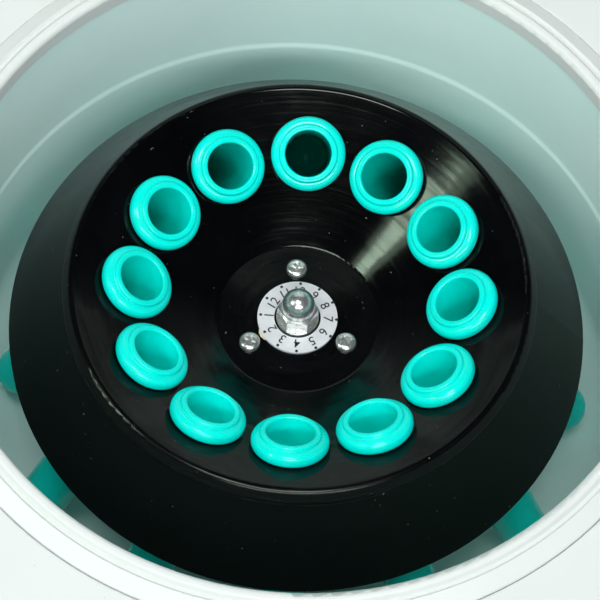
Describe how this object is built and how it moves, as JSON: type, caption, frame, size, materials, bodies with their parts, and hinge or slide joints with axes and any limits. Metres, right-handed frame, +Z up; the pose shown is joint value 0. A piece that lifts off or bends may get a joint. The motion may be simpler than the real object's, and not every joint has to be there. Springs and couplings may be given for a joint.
{
  "type": "benchtop centrifuge",
  "caption": "Benchtop centrifuge with an open hinged lid, a round bowl and an angle rotor whose lift-out sleeves hold 15 ml tubes; knobs, buttons, lid lock and rotor move.",
  "frame": {"origin": "where the rotor axis meets the bench that the feet stand on", "axes": "+Z up along the rotor axis, -Y to the front with the controls, +X to the right seen from the front"},
  "size_m": [0.336, 0.4782, 0.5699],
  "materials": {
    "white_moulding": "smooth moulded, faint texture",
    "base_grey": "moulded, fine texture",
    "bowl_grey": "smooth baked enamel, soft gloss",
    "plain_steel": "zinc plated, satin",
    "bright_steel": "bright nickel plate",
    "cast_alloy": "turned aluminium alloy",
    "core_iron": "stacked laminations",
    "black_rubber": "matt",
    "gasket_rubber": "matt, soft",
    "panel_grey": "fine textured foil",
    "display_smoke": "smoked window",
    "dark_moulding": "moulded, matt",
    "board_green": "solder mask",
    "vent_grey": "moulded, matt",
    "rotor_gloss": "black, polished, fine circular scratches",
    "rotor_satin": "black, satin",
    "teal_sleeve": "moulded, glossy",
    "brushed_plate": "brushed, printed figures",
    "lid_grey": "moulded, smooth",
    "clear_window": "clear",
    "knob_grey": "moulded, satin",
    "button_green": "moulded",
    "button_red": "moulded",
    "button_blue": "moulded",
    "rocker_black": "moulded"
  },
  "bodies": {
    "housing": {"base_tray": "base_grey", "top_cover": "white_moulding", "rim_ring": "white_moulding", "bowl_liner": "bowl_grey", "guard_ring": "plain_steel", "motor_plate": "plain_steel", "damper_mounts": "black_rubber", "motor_can": "plain_steel", "motor_end_cap": "cast_alloy", "stator_core": "core_iron", "motor_bearings": "bright_steel", "shaft_seal": "black_rubber", "control_panel": "panel_grey", "display_window": "display_smoke", "display_module": "dark_moulding", "circuit_board": "board_green", "knob_encoders": "dark_moulding", "button_switches": "dark_moulding", "power_inlet": "dark_moulding", "rocker_bezel": "dark_moulding", "rear_vent": "vent_grey", "hinge_brackets": "plain_steel", "hinge_pin": "bright_steel", "rubber_feet": "black_rubber", "cover_screws": "bright_steel", "lock_body": "plain_steel"},
    "rotor": {"motor_shaft": "bright_steel", "motor_armature": "core_iron", "rotor_hub": "cast_alloy", "rotor_dish": "rotor_gloss", "rotor_skirt": "rotor_satin", "sleeve_support_ring": "rotor_satin", "number_plate": "brushed_plate", "hub_screws": "bright_steel", "hub_washer": "bright_steel", "dome_nut": "bright_steel"},
    "lid": {"lid_shell": "white_moulding", "lid_liner": "lid_grey", "lid_window": "clear_window", "lid_gasket": "gasket_rubber", "lid_hook": "plain_steel"},
    "bolt": {"lock_bolt": "bright_steel"},
    "speed_knob": {"speed_knob": "knob_grey"},
    "time_knob": {"time_knob": "knob_grey"},
    "start_button": {"start_button": "button_green"},
    "stop_button": {"stop_button": "button_red"},
    "lid_button": {"lid_button": "button_blue"},
    "rocker": {"power_rocker": "rocker_black"},
    "tube_sleeve_01": {"tube_sleeve_01": "teal_sleeve"},
    "tube_sleeve_02": {"tube_sleeve_02": "teal_sleeve"},
    "tube_sleeve_03": {"tube_sleeve_03": "teal_sleeve"},
    "tube_sleeve_04": {"tube_sleeve_04": "teal_sleeve"},
    "tube_sleeve_05": {"tube_sleeve_05": "teal_sleeve"},
    "tube_sleeve_06": {"tube_sleeve_06": "teal_sleeve"},
    "tube_sleeve_07": {"tube_sleeve_07": "teal_sleeve"},
    "tube_sleeve_08": {"tube_sleeve_08": "teal_sleeve"},
    "tube_sleeve_09": {"tube_sleeve_09": "teal_sleeve"},
    "tube_sleeve_10": {"tube_sleeve_10": "teal_sleeve"},
    "tube_sleeve_11": {"tube_sleeve_11": "teal_sleeve"},
    "tube_sleeve_12": {"tube_sleeve_12": "teal_sleeve"}
  },
  "joints": [
    {"name": "tube_sleeve_01_lift", "type": "slide", "parent": "rotor", "child": "tube_sleeve_01", "axis": [0.506, 0, 0.8625], "range_m": [0, 0.105]},
    {"name": "tube_sleeve_02_lift", "type": "slide", "parent": "rotor", "child": "tube_sleeve_02", "axis": [0.4382, 0.253, 0.8625], "range_m": [0, 0.008]},
    {"name": "tube_sleeve_03_lift", "type": "slide", "parent": "rotor", "child": "tube_sleeve_03", "axis": [0.253, 0.4382, 0.8625], "range_m": [0, 0.008]},
    {"name": "tube_sleeve_04_lift", "type": "slide", "parent": "rotor", "child": "tube_sleeve_04", "axis": [0, 0.506, 0.8625], "range_m": [0, 0.008]},
    {"name": "tube_sleeve_05_lift", "type": "slide", "parent": "rotor", "child": "tube_sleeve_05", "axis": [-0.253, 0.4382, 0.8625], "range_m": [0, 0.008]},
    {"name": "tube_sleeve_06_lift", "type": "slide", "parent": "rotor", "child": "tube_sleeve_06", "axis": [-0.4382, 0.253, 0.8625], "range_m": [0, 0.008]},
    {"name": "tube_sleeve_07_lift", "type": "slide", "parent": "rotor", "child": "tube_sleeve_07", "axis": [-0.506, 0, 0.8625], "range_m": [0, 0.008]},
    {"name": "tube_sleeve_08_lift", "type": "slide", "parent": "rotor", "child": "tube_sleeve_08", "axis": [-0.4382, -0.253, 0.8625], "range_m": [0, 0.008]},
    {"name": "tube_sleeve_09_lift", "type": "slide", "parent": "rotor", "child": "tube_sleeve_09", "axis": [-0.253, -0.4382, 0.8625], "range_m": [0, 0.008]},
    {"name": "tube_sleeve_10_lift", "type": "slide", "parent": "rotor", "child": "tube_sleeve_10", "axis": [0, -0.506, 0.8625], "range_m": [0, 0.008]},
    {"name": "tube_sleeve_11_lift", "type": "slide", "parent": "rotor", "child": "tube_sleeve_11", "axis": [0.253, -0.4382, 0.8625], "range_m": [0, 0.008]},
    {"name": "tube_sleeve_12_lift", "type": "slide", "parent": "rotor", "child": "tube_sleeve_12", "axis": [0.4382, -0.253, 0.8625], "range_m": [0, 0.008]},
    {"name": "rotor_spin", "type": "hinge", "parent": "housing", "child": "rotor", "pos_m": [0, 0, 0.1741], "axis": [0, 0, 1], "continuous": true},
    {"name": "lid_hinge", "type": "hinge", "parent": "housing", "child": "lid", "pos_m": [0, 0.166, 0.2357], "axis": [-1, 0, 0], "range_deg": [-102, 0]},
    {"name": "bolt_slide", "type": "slide", "parent": "housing", "child": "bolt", "axis": [0, -1, 0], "range_m": [-0.012, 0]},
    {"name": "speed_knob_turn", "type": "hinge", "parent": "housing", "child": "speed_knob", "pos_m": [-0.07, -0.20765, 0.16334], "axis": [0, -0.814, 0.5809], "range_deg": [-270, 0]},
    {"name": "time_knob_turn", "type": "hinge", "parent": "housing", "child": "time_knob", "pos_m": [0.07, -0.20765, 0.16334], "axis": [0, -0.814, 0.5809], "range_deg": [-270, 0]},
    {"name": "rocker_tip", "type": "hinge", "parent": "housing", "child": "rocker", "pos_m": [0.045, 0.18824, 0.046], "axis": [1, 0, 0], "range_deg": [-18, 0]},
    {"name": "start_button_press", "type": "slide", "parent": "housing", "child": "start_button", "axis": [0, 0.814, -0.5809], "range_m": [0, 0.0015], "stiffness_N_per_m": 600, "springref_m": -0.001},
    {"name": "stop_button_press", "type": "slide", "parent": "housing", "child": "stop_button", "axis": [0, 0.814, -0.5809], "range_m": [0, 0.0015], "stiffness_N_per_m": 600, "springref_m": -0.001},
    {"name": "lid_button_press", "type": "slide", "parent": "housing", "child": "lid_button", "axis": [0, 0.814, -0.5809], "range_m": [0, 0.0015], "stiffness_N_per_m": 600, "springref_m": -0.001}
  ]
}
